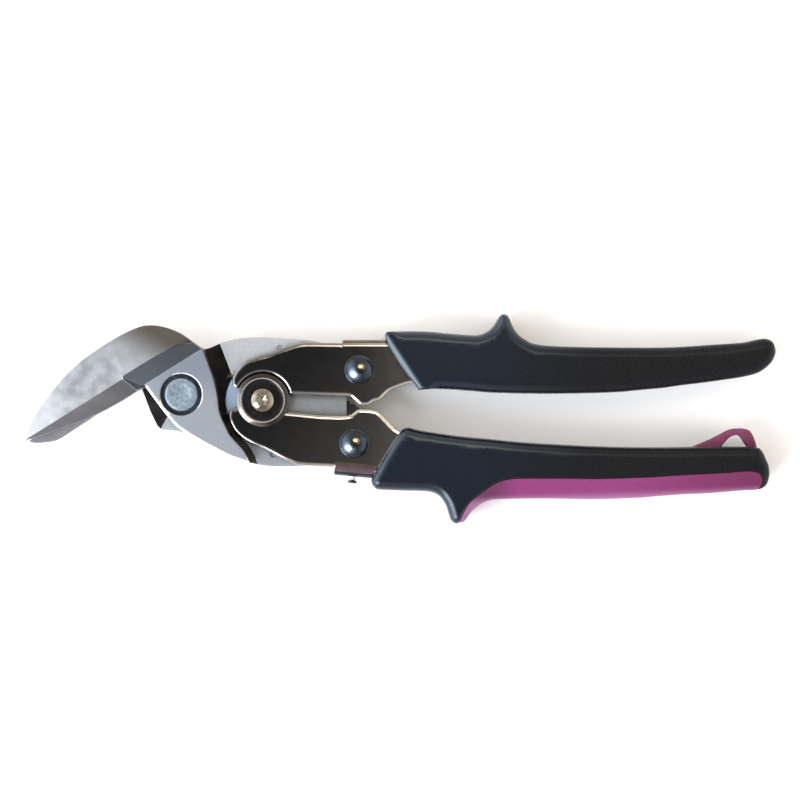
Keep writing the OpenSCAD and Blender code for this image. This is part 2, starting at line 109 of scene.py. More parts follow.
low_rear = [(-71, -6.2)] + [
    mirrored(p)
    for p in curve(
        [(-66.5, 18.5), (-65, 14.5), (-64, 10.5), (-63.4, 7), (-63, 3.5), (-62, 0.3),
         (-60.5, -2.5), (-59, -5.3), (-56.5, -8.2), (-53.7, -11.2), (-51.8, -14.8)])]
low_neck = curve(
    [(-48.5, 28.2), (-55.5, 27.9), (-59, 27.3), (-62.7, 26.2), (-68, 24.2), (-74, 25.2),
     (-81, 24.5), (-88, 21.5)])
low_edge = curve(
    [(-88, 21.5), (-97, 15.5), (-108, 7.5), (-118, -0.5), (-126, -5.6), (-129.6, -7.8)])
low_under = curve(
    [(-129.6, -7.8), (-127.2, -8.5), (-122, -8.1), (-118.5, -6.9), (-115, -4.6), (-111.5, -2.3),
     (-108, 0), (-104.5, 2.4), (-97.5, 6.6), (-91, 10.8)])
tang_low_line = curve(
    [(-65, -10.2), (-62.5, -11.6), (-59, -13.3), (-55.5, -14.4), (-51.5, -15.4), (-48, -16.1),
     (-43.5, -16.5), (-38.5, -16.5), (-35, -16.4), (-30, -16), (-26, -15), (-19.5, -13.8)]
) + [B, (-18, -2.7), (-35.7, -1), (-48, -0.4), (-59.2, 0)]
tang_high_line = curve(
    [(-62.7, 26.2), (-59, 27.3), (-55.5, 27.9), (-48, 28.3), (-38.5, 27.8), (-31.5, 27.3),
     (-27.5, 26.5), (-24, 24.9), (-17.2, 22.4)]
) + [A, (-17, 11.3), (-34.9, 12.2), (-48, 12.6), (-58.2, 14.5)]
upper_plate = (
    curve(
        [(-57.9, 11.4), (-58.2, 13.5), (-57.7, 15.2), (-56.5, 17.1), (-54.7, 19), (-52.5, 20.4),
         (-48.8, 21.7), (-45.3, 22.6), (-41.8, 24), (-38.3, 25.2), (-34, 26.3), (-28, 26.4)])
    + [(-21, 26.3), (-10, 25), (30, 25), (34, 22), (70, 20.5), (70, 13), (10, 13)]
    + curve(
        [(2.8, 12.1), (0, 11.2), (-3.5, 9.7), (-5.3, 8.2), (-7, 6.6), (-9.1, 6), (-10.8, 4.9),
         (-13.6, 4.8), (-15.7, 6.5), (-17.5, 7.8), (-21, 8)])
    + [(-38, 8.6), (-47.5, 7), (-54, 9)])
lower_plate = (
    curve(
        [(-58.9, 3.4), (-59.4, 1.3), (-59.2, -0.4), (-58.5, -2.2), (-57.2, -4.4), (-54.7, -6.7),
         (-51.5, -8.6), (-48, -10.1), (-44.5, -11.8), (-41, -13.7), (-38.3, -14.9), (-35.5, -15.9),
         (-31.4, -16.3)])
    + [(-24.5, -16.6), (12, -19.8), (14, -19.5), (70, -18), (70, -12.5), (12, -11.5), (4, -6.5)]
    + curve(
        [(0, -4.3), (-1.7, -3.2), (-3.5, -1.5), (-5.2, 0.3), (-7.5, 2.5), (-9.8, 3.2),
         (-13.9, 3.4), (-15.7, 2.4), (-17.5, 1.3), (-21, 1)])
    + [(-28, 1.3), (-35, 2), (-39.4, 2.4), (-47.5, 6)])
upper_grip_line = curve(
    [(6.3, 10), (5.9, 11.1), (3.5, 14.2), (0, 19.1), (-2.4, 22.9), (-4, 25.6), (-5, 28),
     (-4.9, 29.6), (-3.5, 30.2), (3.5, 30.4), (10.5, 30.2), (17.5, 29.5), (24.5, 29),
     (27.2, 29), (29.6, 29.9), (31.7, 31.3), (33.1, 33), (34.2, 35), (35, 36), (35.9, 36.3),
     (36.9, 36), (37.8, 35), (38.7, 32.7), (40.1, 30.2), (41.8, 28.5), (43.9, 27.1),
     (46, 26.1), (50.5, 25.4), (59, 25), (70, 24.8), (90, 24.7), (101, 25.2), (108, 25.7),
     (118.5, 26.4), (122, 27.1), (124.4, 27.6), (126.2, 27.8), (127.9, 27.4), (129.2, 26.4),
     (129.8, 24.8), (130, 23), (129.3, 20.8), (128.2, 19.1), (126.2, 17.3), (123.7, 15.8),
     (120.2, 14.8), (115, 13.9), (105, 12.5), (97.5, 11.6), (90.5, 10.6), (83.5, 10),
     (76.5, 9.3), (69.5, 9), (61, 8.8), (52, 8.7), (42, 8.8), (31.5, 9.1), (24.5, 9.7),
     (17.5, 10.2), (12.2, 10.4), (8.7, 10.2), (6.3, 10)], 3)[:-1]
lower_grip_line = curve(
    [(0.7, -3.9), (-1, -5.7), (-2.8, -8.1), (-4.5, -10.9), (-6.6, -14.4), (-8.4, -17.9),
     (-9.5, -20), (-9.9, -21.5), (-9.4, -23.1), (-8.4, -24.1), (-7, -24.5), (0, -24.8),
     (8.7, -25), (11.5, -25.5), (13.6, -26.6), (15, -28.3), (16, -30.1), (16.8, -32.5),
     (17.4, -34.6), (18.6, -36), (20, -36.3), (22, -35.6), (23, -34.6), (24.4, -32.5),
     (26.1, -30.8), (28.9, -29), (31.5, -28.1), (35, -27.8), (45, -27.6), (52, -27.6),
     (62.5, -27.8), (70, -27.8), (77, -27.6), (83.5, -27.3), (90.5, -26.7), (97.5, -26.2),
     (104.5, -25.9), (111.5, -25.4), (118.5, -24.8), (123.5, -24.6), (125.2, -24.1),
     (126.5, -23.3), (127.3, -22), (127.7, -20.6), (127.9, -18.6), (127.6, -16.1),
     (126.7, -14), (125.8, -11.9), (124.8, -10.5), (123.6, -9.9), (120, -9.8), (111.5, -9.8),
     (104.5, -9.8), (97.5, -10), (87, -10), (77, -9.9), (70, -9.7), (62.5, -9.4),
     (55.5, -9), (45, -8.4), (38, -7.8), (31.5, -7.1), (24.5, -6.5), (17.5, -5.7),
     (12, -4.9), (7.5, -4.2), (5.2, -3.7), (3.1, -3.1), (1.7, -3.3), (0.7, -3.9)], 3)[:-1]
inlay_top = curve(
    [(20.6, -35.6), (22.4, -31.5), (24.4, -28.7), (27.2, -26.2), (29.6, -24.5), (32, -22.8),
     (35, -21.4), (38.5, -20.7), (42, -20.5), (56, -20.5), (70, -20.6), (87, -20),
     (97.5, -19.3), (111.5, -18.6), (119.5, -18), (122.5, -18.2), (124.1, -18.9),
     (124.9, -20.3), (124.9, -22.4), (124, -24), (123, -25.5)], 4)
latch_line = curve(
    [(95, -13.6), (95.1, -11.7), (95.6, -10.9), (96.3, -10.9), (97.2, -11.5), (98.6, -11.5),
     (100, -10.9), (101.6, -9.9), (103.5, -9), (108, -7.1), (111.5, -5.3), (114.3, -3.9), (116.7, -3.4),
     (119.5, -3.4), (121.6, -4.1), (122.7, -5.7), (123.6, -7.8), (124.1, -9.8),
     (124.2, -12.2), (123.6, -14.2), (121.5, -15)]) + [(117, -14.6), (96, -14.3)]
latch_hole = curve(
    [(111.6, -9.8), (113.6, -7.5), (115, -6.3), (116.6, -5.7), (117.8, -5.8), (118.8, -6.7),
     (119.8, -8.5), (120, -9.8), (111.6, -9.8)])[:-1]


# ------------------------------------------------------------------ solid fields
class Field:
    """Distance fields on a grid, negative inside, in mm. z is from the cutting plane."""

    def __init__(self, lo, hi, step):
        self.step, self.lo = step, np.array(lo, float)
        n = [int(math.ceil((h - l) / step)) + 1 for l, h in zip(lo, hi)]
        x, y, z = (
            (l + step * np.arange(k)).astype(np.float32) for l, k in zip(lo, n)
        )
        self.X, self.Y = np.meshgrid(x, y, indexing="ij")
        self.x3, self.y3 = self.X[:, :, None], self.Y[:, :, None]
        self.z3 = z[None, None, :]
        self.az3 = np.abs(self.z3)

    def poly(self, pts):
        p = np.array(pts, np.float32)
        X, Y = self.X.ravel(), self.Y.ravel()
        best = np.full(X.shape, 1e9, np.float32)
        inside = np.zeros(X.shape, bool)
        for a, b in zip(p, np.roll(p, -1, 0)):
            e = b - a
            ll = float(e @ e)
            if ll < 1e-10:
                continue
            wx, wy = X - a[0], Y - a[1]
            t = np.clip((wx * e[0] + wy * e[1]) / ll, 0, 1)
            np.minimum(best, (wx - e[0] * t) ** 2 + (wy - e[1] * t) ** 2, out=best)
            if a[1] != b[1]:
                cross = (Y >= a[1]) != (Y >= b[1])
                inside ^= cross & (wx < wy * (e[0] / e[1]))
        d = np.sqrt(best)
        d[inside] *= -1
        return d.reshape(self.X.shape)[:, :, None]

    def disc(self, c, r):
        return (np.hypot(self.X - c[0], self.Y - c[1]) - r)[:, :, None]

    def across(self, at, deg):
        """Distance to the left of a line in plan."""
        s, c = math.sin(math.radians(deg)), math.cos(math.radians(deg))
        return (-(self.X - at[0]) * s + (self.Y - at[1]) * c)[:, :, None]

    def along(self, at, deg):
        s, c = math.sin(math.radians(deg)), math.cos(math.radians(deg))
        return ((self.X - at[0]) * c + (self.Y - at[1]) * s)[:, :, None]

    def slab(self, d2, z0, z1, r=0.3, both=False):
        """Rounded extrusion of a plan field."""
        z = self.az3 if both else self.z3
        return rounded(d2, np.abs(z - (z0 + z1) / 2) - (z1 - z0) / 2, r)


def rounded(a, b, r):
    a, b = a + r, b + r
    return (
        np.minimum(np.maximum(a, b), 0)
        + np.sqrt(np.maximum(a, 0) ** 2 + np.maximum(b, 0) ** 2)
        - r
    )


def join(a, b, k=0.0):
    if k <= 0:
        return np.minimum(a, b)
    h = np.maximum(k - np.abs(a - b), 0) / k
    return np.minimum(a, b) - h * h * k * 0.25


def meet(a, b, k=0.0):
    return -join(-a, -b, k)


def cut(a, b, k=0.0):
    return meet(a, -b, k)


def sample(f, p):
    """Trilinear value of f at index points p."""
    n = np.array(f.shape) - 1
    q = np.clip(p, 0, n - 1e-4)
    i = np.floor(q).astype(np.int32)
    t = q - i
    out = 0
    for dx in (0, 1):
        for dy in (0, 1):
            for dz in (0, 1):
                w = (
                    (t[:, 0] if dx else 1 - t[:, 0])
                    * (t[:, 1] if dy else 1 - t[:, 1])
                    * (t[:, 2] if dz else 1 - t[:, 2])
                )
                out = out + w * f[i[:, 0] + dx, i[:, 1] + dy, i[:, 2] + dz]
    return out


def slope_of(f, p, h=0.5):
    g = np.zeros_like(p)
    for k in range(3):
        e = np.zeros(3)
        e[k] = h
        g[:, k] = (sample(f, p + e) - sample(f, p - e)) / (2 * h)
    return g


def solid(name, field, f, adapt=0.02, creases=()):
    """A mesh object of the zero surface of f, with normals from the field.
    creases: upright planes (point, direction) that get an exact row of edges."""
    f = np.array(
        np.broadcast_to(f, field.X.shape + (field.z3.shape[2],)), np.float32, order="C"
    )
    grid = openvdb.FloatGrid(float(3 * field.step))
    grid.copyFromArray(f)
    pts, tris, quads = grid.convertToPolygons(0.0, adapt)
    p = np.array(pts, float)
    for _ in range(3):
        v = sample(f, p)
        g = slope_of(f, p)
        gg = np.maximum((g * g).sum(1), 1e-4)
        p -= np.clip(v / gg, -0.4, 0.4)[:, None] * g
    base = field.lo + np.array([0, 0, ZC])
    world = (p * field.step + base) * 0.001
    faces = [tuple(int(i) for i in t) for t in tris] + [
        tuple(int(i) for i in q) for q in quads
    ]
    me = bpy.data.meshes.new(name)
    me.from_pydata(world.tolist(), [], faces)
    # outward faces
    g = slope_of(f, p, 0.35)
    a = world[[q[0] for q in faces]]
    b = world[[q[1] for q in faces]]
    c = world[[q[2] for q in faces]]
    if np.einsum("ij,ij->i", np.cross(b - a, c - a), g[[q[0] for q in faces]]).sum() < 0:
        me.flip_normals()
    if creases:
        bm = bmesh.new()
        bm.from_mesh(me)
        for at, deg in creases:
            s, k = math.sin(math.radians(deg)), math.cos(math.radians(deg))
            bmesh.ops.bisect_plane(
                bm, geom=bm.verts[:] + bm.edges[:] + bm.faces[:], dist=2e-5,
                plane_co=(at[0] * 0.001, at[1] * 0.001, 0), plane_no=(-s, k, 0))
        bm.to_mesh(me)
        bm.free()
        world = np.zeros(len(me.vertices) * 3)
        me.vertices.foreach_get("co", world)
        p = (world.reshape(-1, 3) * 1000 - base) / field.step
        g = slope_of(f, p, 0.35)
    g /= np.maximum(np.linalg.norm(g, axis=1), 1e-9)[:, None]
    me.polygons.foreach_set("use_smooth", np.ones(len(me.polygons), bool))
    me.normals_split_custom_set_from_vertices(g.tolist())
    ob = bpy.data.objects.new(name, me)
    scene.collection.objects.link(ob)
    return ob


def lathe(name, at, profile, n=72):
    """Turned piece: profile of (radius, z from the cutting plane) from the axis round to the axis."""
    verts, faces = [], []
    m = len(profile)
    for k in range(n):
        a = 2 * math.pi * k / n
        for r, z in profile:
            verts.append(
                (
                    (at[0] + r * math.cos(a)) * 0.001,
                    (at[1] + r * math.sin(a)) * 0.001,
                    (z + ZC) * 0.001,
                )
            )
    for k in range(n):
        for j in range(m - 1):
            a, b = k * m + j, ((k + 1) % n) * m + j
            q = [a, b, b + 1, a + 1]
            if profile[j][0] < 1e-6:
                q = [a, b + 1, a + 1]
            elif profile[j + 1][0] < 1e-6:
                q = [a, b, a + 1]
            faces.append(q)
    me = bpy.data.meshes.new(name)
    me.from_pydata(verts, [], faces)
    bm = bmesh.new()
    bm.from_mesh(me)
    bmesh.ops.remove_doubles(bm, verts=bm.verts, dist=1e-7)
    bmesh.ops.recalc_face_normals(bm, faces=bm.faces)
    bm.to_mesh(me)
    bm.free()
    me.polygons.foreach_set("use_smooth", np.ones(len(me.polygons), bool))
    me.set_sharp_from_angle(angle=math.radians(35))
    ob = bpy.data.objects.new(name, me)
    scene.collection.objects.link(ob)
    return ob


def arc(c, r, a0, a1, n=8):
    return [polar(c, r, a0 + (a1 - a0) * k / n) for k in range(n + 1)]


# ------------------------------------------------------------------ pieces
STEP = 0.25


def off_curve(c, pts):
    """Plan distance of the points c from an open curve."""
    p = np.array(pts, float)
    best = np.full(len(c), 1e9)
    for a, b in zip(p[:-1], p[1:]):
        e = b - a
        w = c[:, :2] - a
        k = np.clip((w @ e) / max(float(e @ e), 1e-9), 0, 1)
        best = np.minimum(best, np.hypot(w[:, 0] - e[0] * k, w[:, 1] - e[1] * k))
    return best


def off_curve_field(g, pts):
    """Plan distance from an open curve on the grid of g."""
    q = np.stack([g.X.ravel(), g.Y.ravel()], 1)
    return off_curve(q, pts).reshape(g.X.shape)[:, :, None].astype(np.float32)


def make_upper_blade():
    g = Field((-131.2, -18, -4), (-8.4, 33.8, 9.2), STEP)
    base = g.slab(g.poly(jaw_top + head_rear + head_low + edge_up), 0.05, 3.2, 0.2)
    y = g.across((-129.6, -7), 32)
    base = meet(base, (g.z3 - 3.2 - y * math.tan(math.radians(19))) * 0.9455, 0.5)
    foot = g.poly(
        [(-96.2, 15.4), (-96.2, 13.9), (-91.6, 10)]
        + head_low[::-1] + head_rear[::-1]
        + [(-71.5, 26.4), (-77.5, 25.7), (-87, 20.5)])
    # a shallow chamfer runs along the boss below the bolt
    m = 1 - np.clip((g.x3 + 75 + g.y3 - 8) * 0.177 + 0.5, 0, 1)
    boss = g.slab(foot + 0.04 * np.maximum(g.z3 - 3, 0), 0.5, 8, 0.4)
    boss = meet(boss, (0.466 * (foot + 1.0 * m) + g.z3 - 8) * 0.906, 0.1)
    y = g.across((-79, 17.5), 32)
    boss = meet(boss, (g.z3 - 8 + y * 0.7273) * 0.8087, 0.3)
    y, u = g.across((-91.6, 10), -41), g.along((-88.1, 11), -41)
    boss = meet(boss, np.minimum((g.z3 - 3.2 - y * 1.7778) * 0.4903, -u), 0.3)
    f = join(base, boss, 0.5)
    tang = join(
        g.slab(g.poly(tang_low_line), -2.8, 2.8, 0.5), g.slab(g.disc(B, 6.3), -2.8, 2.8, 0.5), 0.3)
    tang = cut(tang, g.disc(F, 13.6), 0.4)
    # groove beside the boss
    strip = np.maximum(off_curve_field(g, head_rear[10:]) - 1.9, np.maximum(2.0 - g.z3, -foot - 1))
    tang = cut(tang, strip, 0.1)
    f = join(f, tang, 0.1)
    f = cut(f, g.disc(P, 4.05), 0.1)
    f = cut(f, np.maximum(g.disc(P, 7.2), 5.2 - g.z3), 0.5)
    f = cut(f, g.disc(B, 3.05), 0.1)
    f = cut(f, np.maximum(g.disc((-43.9, -12.3), 1.1), 2.2 - g.z3), 0.3)
    return solid("upper_blade_forging", g, f, 0.01, [((-129.6, -7), 32), ((-79, 17.5), 32)])


def make_lower_blade():
    g = Field((-130.8, -9.6, -8.8), (-6.6, 29.4, 3.6), STEP)
    head = g.poly(
        [(-90.2, 11.2), (-87, 2.6), (-84.6, -2.4), (-83.2, -3.7), (-77.5, -4.3)]
        + low_rear + low_neck + low_edge + low_under)
    base = g.slab(head, -3.6, -0.05, 0.25)
    boss = g.slab(head, -8, -0.5, 0.7)
    y = g.across((-84, 5), 60)
    boss = meet(boss, (-g.z3 - 8 + y * 0.8) * 0.7809, 0.5)
    f = join(base, boss, 0.6)
    shoulder = g.poly([polar(F, 13.6, a) for a in range(145, 201, 5)] + [(-67, 2), (-67, 15)])
    f = join(f, g.slab(shoulder, -8, -0.05, 0.3), 0.3)
    heel = g.poly([(-68, 5), (-60, 5), (-58.8, -1), (-60.5, -4), (-68, -3)])
    f = join(f, g.slab(heel, -8, -5.7, 0.3), 0.3)
    tang = join(
        g.slab(g.poly(tang_high_line), -2.8, 2.8, 0.5), g.slab(g.disc(A, 6.3), -2.8, 2.8, 0.5), 0.3)
    tang = cut(tang, g.disc(F, 13.6), 0.4)
    f = join(f, tang, 0.4)
    f = cut(f, g.disc(P, 4.05), 0.1)
    f = cut(f, np.maximum(g.disc(P, 8.3), g.z3 + 4.7), 0.4)
    f = cut(f, g.disc(A, 3.35), 0.1)
    f = cut(f, np.maximum(g.disc((-41.5, 24.5), 1.1), 2.2 - g.z3), 0.3)
    return solid("lower_blade_forging", g, f, 0.02,
                 [((-83.4, -3.6), 62), ((-80, 2), 0), ((-70, 0), 90), ((-91.5, 0), 90)])


def make_upper_lever():
    g = Field((-61.6, -0.6, -5.8), (71, 28.4, 5.8), STEP)
    plan = cut(g.poly(upper_plate), g.disc(F, 9.6), 0.2)
    f = g.slab(plan, 3.0, 5.1, 0.4, both=True)
    f = meet(f, (0.466 * (plan + 0.95) + g.az3 - 5.1) * 0.906, 0.3)
    f = join(f, g.slab(g.disc(F, 13), 1.0, 3.1, 0.2, both=True), 0.1)
    f = join(f, g.slab(g.poly([(-40, 0.4), (-18.5, 0.4), (-18.5, 10), (-40, 10)]), 1.0, 3.1, 0.2), 0.02)
    a, b = g.y3 - 24.9, g.az3 - 2.6
    outer = np.minimum(np.maximum(a, b), 0) + np.hypot(np.maximum(a, 0), np.maximum(b, 0)) - 2.5
    web = np.maximum(outer, -np.maximum(g.y3 - 25.3, g.az3 - 3.0))
    web = meet(web, np.maximum(22 - g.y3, np.maximum(-20 - g.x3, g.x3 - 30)), 0.4)
    f = join(f, web, 0.05)
    f = cut(f, g.disc(F, 3.55), 0.1)
    f = cut(f, g.disc(A, 3.05), 0.1)
    f = cut(f, np.maximum(g.disc((-25, 9.8), 0.9), g.z3), 0.1)
    return solid("upper_lever_plate", g, f, 0.0015)


def make_lower_lever():
    g = Field((-60.4, -23.6, -5.9), (71, 15.4, 5.9), STEP)
    plan = join(g.poly(lower_plate), g.disc(F, 8.2), 0.3)
    f = g.slab(plan, 3.25, 5.25, 0.4, both=True)
    f = meet(f, (0.466 * (plan + 0.95) + g.az3 - 5.25) * 0.906, 0.3)
    tab = g.poly([(-18.5, 0), (-13, 2), (-14.6, 3.9), (-17.3, 6.2), (-18.5, 6.2)])
    f = join(f, g.slab(join(tab, plan, 0.2), -5.25, -3.25, 0.4))
    u, v = g.along((-22.8, -16.6), -5.4), g.across((-22.8, -16.6), -5.4)
    a, b = 1.5 - v, g.az3 - 0.85
    outer = np.minimum(np.maximum(a, b), 0) + np.hypot(np.maximum(a, 0), np.maximum(b, 0)) - 4.4
    inner = np.minimum(np.maximum(a, b), 0) + np.hypot(np.maximum(a, 0), np.maximum(b, 0)) - 2.4
    f = cut(f, np.maximum(-outer, np.maximum(0.2 - u, u - 34)), 0.05)
    web = np.maximum(outer, -inner)
    web = meet(web, np.maximum(v - 4, np.maximum(-u, u - 34)), 0.4)
    f = join(f, web, 0.05)
    f = cut(f, g.disc(F, 3.55), 0.1)
    f = cut(f, g.disc(B, 3.05), 0.1)
    f = cut(f, np.maximum(g.disc((-26, -0.1), 0.9), g.z3), 0.1)
    return solid("lower_lever_plate", g, f, 0.0015,
                 [((-22.63, -14.76), -5.4), ((-22.77, -16.3), -5.4), ((-22.94, -18.09), -5.4), ((-22.6, -16.6), 84.6)])


GS = 0.32


def make_upper_grip():
    g = Field((-6.4, 7.6, -9.6), (131, 37.6, 9.6), GS)
    line = g.poly(upper_grip_line)
    # slanted front with a crisper edge, eased off
    front = g.across((6.3, 10), 123.4)
    near = np.clip((front + 7) / 4, 0, 1)
    near = near * near * (3 - 2 * near)
    f = (1 - near) * g.slab(line, -8.8, 8.8, 3.4) + near * g.slab(line, -8.8, 8.8, 1)
    f = meet(f, (0.466 * (front + 1.9) + g.az3 - 8.8) * 0.906, 0.5)
    tail = g.slab(
        g.poly([(-12, 25.3), (29.9, 25.2), (33.9, 21.8), (69.9, 20.3), (69.9, 13.2), (10, 13.2),
                (2.8, 12.4), (-12, 8.8)]), 3.1, 5.0, 0.05, both=True)
    f = cut(f, tail, 0.1)
    f = cut(f, np.maximum(np.abs(g.y3 - 26.35) - 0.95,
                          np.maximum(g.az3 - 4.9, g.x3 - 29.9)), 0.1)
    f = cut(f, g.slab(g.poly([(104, 5), (121.2, 5), (121.2, 16.5), (123, 16.5), (123, 19.5),
                              (106, 19.5), (104, 16)]), -2.4, 2.4, 0.1), 0.2)
    return solid("upper_grip_shell", g, f)


def lower_grip_parts():
    g = Field((-11.4, -37.6, -9.6), (129.4, -1.8, 9.6), GS)
    f = g.slab(g.poly(lower_grip_line), -8.8, 8.8, 3.4)
    region = g.poly(inlay_top + [(123, -45), (20.6, -45)])
    body = cut(f, region - 0.04, 0.5)
    tail = g.slab(
        g.poly([(-14, -1.6), (0, -4.6), (4, -6.8), (11.9, -11.75), (69.9, -12.7), (69.9, -17.8),
                (14, -19.3), (12, -19.6), (-14, -16.8)]), 3.35, 5.15, 0.05, both=True)
    u, v = g.along((-22.8, -16.6), -5.4), g.across((-22.8, -16.6), -5.4)
    a, b = 1.5 - v, g.az3 - 0.85
    outer = np.minimum(np.maximum(a, b), 0) + np.hypot(np.maximum(a, 0), np.maximum(b, 0)) - 4.3
    body = cut(body, np.maximum(tail, np.where(u < 34, outer, -9)), 0.1)
    body = cut(body, np.maximum(np.maximum(outer, -1.7 - outer), np.maximum(v - 3, u - 33.9)), 0.1)
    body = cut(body, g.slab(g.poly([(93.8, 0), (93.8, -15.2), (118, -15.2), (119.5, -16.8),
                                    (140, -16.8), (140, 0)]), -2.25, 2.25, 0.1), 0.3)
    body = cut(body, np.maximum(g.disc(O, 1.3), g.az3 - 5.1), 0.05)
    inlay = meet(f, region, 0.5)
    return solid("lower_grip_shell", g, body), solid("lower_grip_magenta_inlay", g, inlay)


def make_latch():
    g = Field((94, -16, -2.6), (125.2, -2.4, 2.6), 0.16)
    f = g.slab(cut(g.poly(latch_line), g.poly(latch_hole), 0.6), -2, 2, 0.7)
    f = cut(f, g.disc(O, 1.3), 0.1)
    return solid("finger_loop_latch", g, f)


# ------------------------------------------------------------------ finishes
def link(t, a, b):
    t.links.new(a, b)


def finish(name, one, two, scale, metallic, rough, dr=0.05, bump=0.05, bscale=2600, spec=0.5,
           fades=(), stretch=None, detail=5, aniso=0.0, rfade=None, glint=(1, 1, 1), spots=(), sfade=None):
    """Two mottled tones with a fine grain.
    fades: (x, y, from, to, colour, share, raggedness) tint along a line in mm.
    spots: (x, y, z, inner, outer, colour, share) tint round a point in mm.
    sfade: (x, y, from, to, specular level) along a line in mm."""
    m = bpy.data.materials.new(name)
    m.use_nodes = True
    t = m.node_tree
    b = t.nodes["Principled BSDF"]
    b.inputs["Metallic"].default_value = metallic
    b.inputs["Specular IOR Level"].default_value = spec
    b.inputs["Anisotropic"].default_value = aniso
    b.inputs["Specular Tint"].default_value = (*glint, 1)
    co = t.nodes.new("ShaderNodeTexCoord")
    mp = t.nodes.new("ShaderNodeMapping")
    if stretch:
        mp.inputs["Rotation"].default_value = (0, 0, math.radians(stretch[0]))
        mp.inputs["Scale"].default_value = stretch[1:]
    link(t, co.outputs["Object"], mp.inputs["Vector"])
    n1 = t.nodes.new("ShaderNodeTexNoise")
    n1.inputs["Scale"].default_value = scale
    n1.inputs["Detail"].default_value = detail
    link(t, mp.outputs["Vector"], n1.inputs["Vector"])
    ramp = t.nodes.new("ShaderNodeValToRGB")
    ramp.color_ramp.elements[0].position = 0.33
    ramp.color_ramp.elements[1].position = 0.67
    ramp.color_ramp.elements[0].color = (*one, 1)
    ramp.color_ramp.elements[1].color = (*two, 1)
    link(t, n1.outputs["Fac"], ramp.inputs["Fac"])
    col = ramp.outputs["Color"]
    for fx, fy, s, e, tone, share, *ragged in fades:
        dot = t.nodes.new("ShaderNodeVectorMath")
        dot.operation = "DOT_PRODUCT"
        dot.inputs[1].default_value = (fx * 1000, fy * 1000, 0)
        link(t, co.outputs["Object"], dot.inputs[0])
        wob = t.nodes.new("ShaderNodeMath")
        wob.operation = "MULTIPLY_ADD"
        reach = ragged[0] if ragged else min((e - s) * 0.8, 6)
        wob.inputs[1].default_value = reach
        link(t, n1.outputs["Fac"], wob.inputs[0])
        link(t, dot.outputs["Value"], wob.inputs[2])
        mr = t.nodes.new("ShaderNodeMapRange")
        mr.interpolation_type = "SMOOTHSTEP"
        mr.inputs["From Min"].default_value = s + reach * 0.5
        mr.inputs["From Max"].default_value = e + reach * 0.5
        mr.inputs["To Max"].default_value = share
        link(t, wob.outputs["Value"], mr.inputs["Value"])
        mx = t.nodes.new("ShaderNodeMix")
        mx.data_type = "RGBA"
        mx.inputs[7].default_value = (*tone, 1)
        link(t, mr.outputs["Result"], mx.inputs[0])
        link(t, col, mx.inputs[6])
        col = mx.outputs[2]
    for x, y, z, near, far, tone, share in spots:
        d = t.nodes.new("ShaderNodeVectorMath")
        d.operation = "DISTANCE"
        d.inputs[1].default_value = (x * 0.001, y * 0.001, (z + ZC) * 0.001)
        link(t, co.outputs["Object"], d.inputs[0])
        mr = t.nodes.new("ShaderNodeMapRange")
        mr.interpolation_type = "SMOOTHSTEP"
        mr.inputs["From Min"].default_value = far * 0.001
        mr.inputs["From Max"].default_value = near * 0.001
        mr.inputs["To Max"].default_value = share
        link(t, d.outputs["Value"], mr.inputs["Value"])
        mx = t.nodes.new("ShaderNodeMix")
        mx.data_type = "RGBA"
        mx.inputs[7].default_value = (*tone, 1)
        link(t, mr.outputs["Result"], mx.inputs[0])
        link(t, col, mx.inputs[6])
        col = mx.outputs[2]
    link(t, col, b.inputs["Base Color"])
    mr = t.nodes.new("ShaderNodeMapRange")
    mr.inputs["From Min"].default_value = 0.3
    mr.inputs["From Max"].default_value = 0.7
    mr.inputs["To Min"].default_value = max(0.03, rough - dr)
    mr.inputs["To Max"].default_value = min(1, rough + dr)
    link(t, n1.outputs["Fac"], mr.inputs["Value"])
    gloss = mr.outputs["Result"]
    if rfade:
        # (x, y, from, to, added roughness)
        dot = t.nodes.new("ShaderNodeVectorMath")
        dot.operation = "DOT_PRODUCT"
        dot.inputs[1].default_value = (rfade[0] * 1000, rfade[1] * 1000, 0)
        link(t, co.outputs["Object"], dot.inputs[0])
        mr = t.nodes.new("ShaderNodeMapRange")
        mr.interpolation_type = "SMOOTHSTEP"
        mr.inputs["From Min"].default_value = rfade[2]
        mr.inputs["From Max"].default_value = rfade[3]
        mr.inputs["To Max"].default_value = rfade[4]
        link(t, dot.outputs["Value"], mr.inputs["Value"])
        add = t.nodes.new("ShaderNodeMath")
        link(t, gloss, add.inputs[0])
        link(t, mr.outputs["Result"], add.inputs[1])
        gloss = add.outputs["Value"]
    link(t, gloss, b.inputs["Roughness"])
    if sfade:
        dot = t.nodes.new("ShaderNodeVectorMath")
        dot.operation = "DOT_PRODUCT"
        dot.inputs[1].default_value = (sfade[0] * 1000, sfade[1] * 1000, 0)
        link(t, co.outputs["Object"], dot.inputs[0])
        mr = t.nodes.new("ShaderNodeMapRange")
        mr.interpolation_type = "SMOOTHSTEP"
        mr.inputs["From Min"].default_value = sfade[2]
        mr.inputs["From Max"].default_value = sfade[3]
        mr.inputs["To Min"].default_value = spec
        mr.inputs["To Max"].default_value = sfade[4]
        link(t, dot.outputs["Value"], mr.inputs["Value"])
        link(t, mr.outputs["Result"], b.inputs["Specular IOR Level"])
    n2 = t.nodes.new("ShaderNodeTexNoise")
    n2.inputs["Scale"].default_value = bscale
    n2.inputs["Detail"].default_value = 3
    link(t, mp.outputs["Vector"], n2.inputs["Vector"])
    bp = t.nodes.new("ShaderNodeBump")
    bp.inputs["Strength"].default_value = bump
    bp.inputs["Distance"].default_value = 0.0003
    link(t, n2.outputs["Fac"], bp.inputs["Height"])
    link(t, bp.outputs["Normal"], b.inputs["Normal"])
    return m


